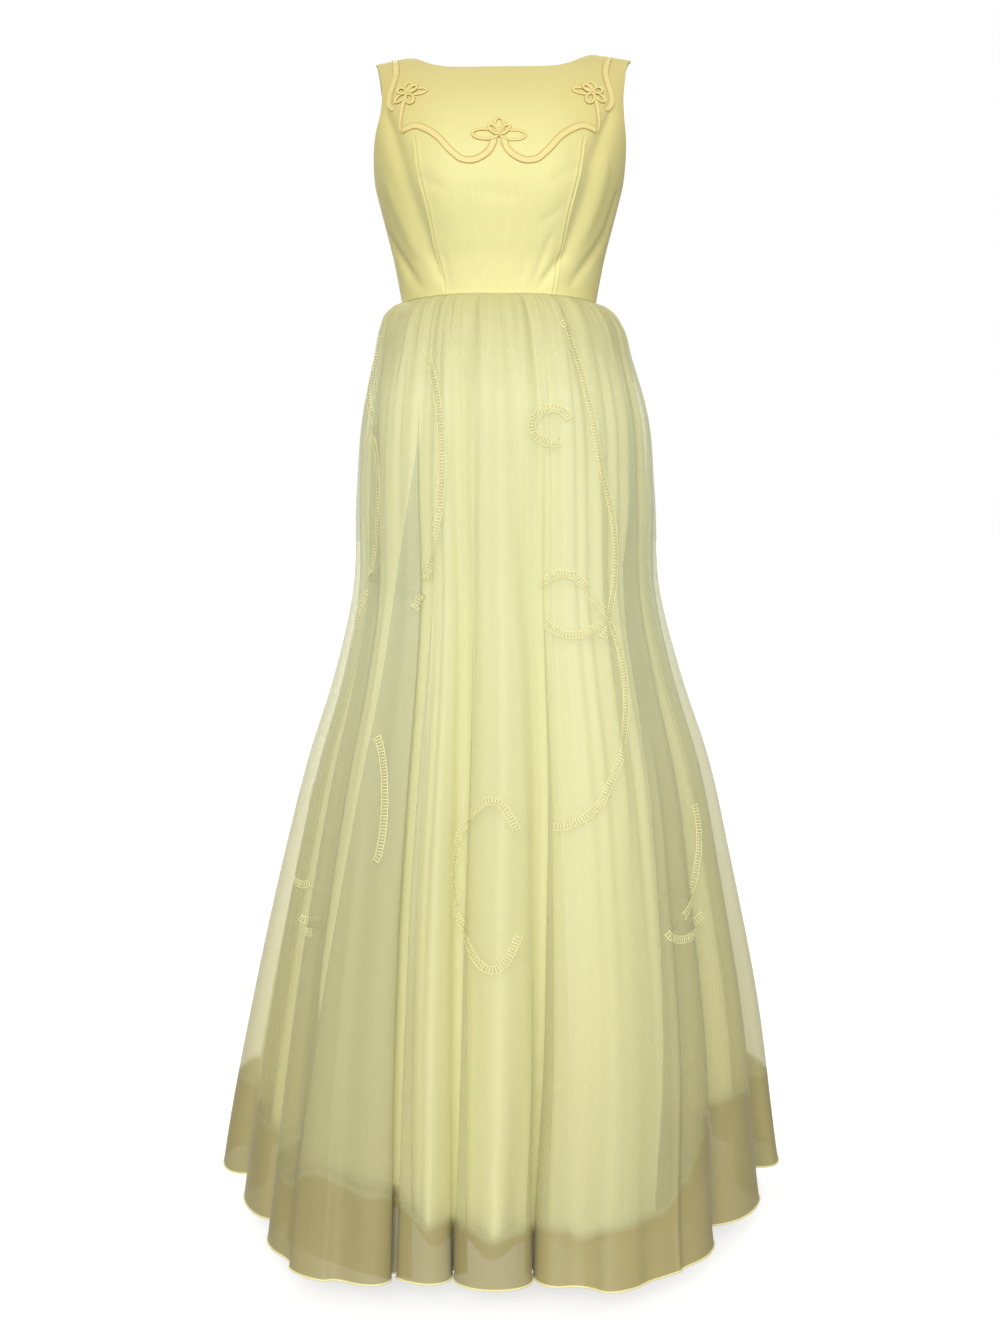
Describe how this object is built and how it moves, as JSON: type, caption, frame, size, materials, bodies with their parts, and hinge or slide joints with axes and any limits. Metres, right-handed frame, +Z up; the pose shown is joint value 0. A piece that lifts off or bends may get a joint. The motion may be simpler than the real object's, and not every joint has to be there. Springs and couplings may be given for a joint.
{
  "type": "prom dress",
  "caption": "Sleeveless floor-length gown: boat neck, fitted bodice with applied braid, sheer gathered overskirt over a shorter lining, back zip.",
  "frame": {"origin": "midway between the two shoulder seams, at the height of the seams' neck ends, where the wearer's shoulders carry the gown", "axes": "+Z up, front faces -Y, +X to the right of someone looking at the front"},
  "size_m": [0.7777, 0.7509, 1.4928],
  "materials": {
    "crepe": "matte slubbed crepe, pale butter yellow",
    "sheer": "sheer organza, see-through, soft sheen",
    "taffeta": "lustrous taffeta",
    "braid": "padded corded braid",
    "zip_tape": "woven cotton tape",
    "zip_chain": "brushed teeth",
    "zip_metal": "satin slider and pull"
  },
  "bodies": {
    "gown": {"bodice_front_centre": "crepe", "bodice_side_front_left": "crepe", "bodice_side_front_right": "crepe", "bodice_back_left": "crepe", "bodice_back_right": "crepe", "overskirt_front": "sheer", "overskirt_back_left": "sheer", "overskirt_back_right": "sheer", "underskirt_front": "taffeta", "underskirt_back_left": "taffeta", "underskirt_back_right": "taffeta", "braid_shoulder_left": "braid", "braid_shoulder_right": "braid", "braid_scallop_left": "braid", "braid_scallop_right": "braid", "motif_left": "braid", "motif_right": "braid", "motif_centre": "braid", "zip_tape_left": "zip_tape", "zip_tape_right": "zip_tape", "zip_chain": "zip_chain", "zip_slider": "zip_metal"},
    "zip_pull": {"zip_pull_tab": "zip_metal"}
  },
  "joints": [
    {"name": "zip_pull_swing", "type": "hinge", "parent": "gown", "child": "zip_pull", "pos_m": [0, 0.09108, -0.0496], "axis": [1, 0, 0], "range_deg": [0, 165]}
  ]
}
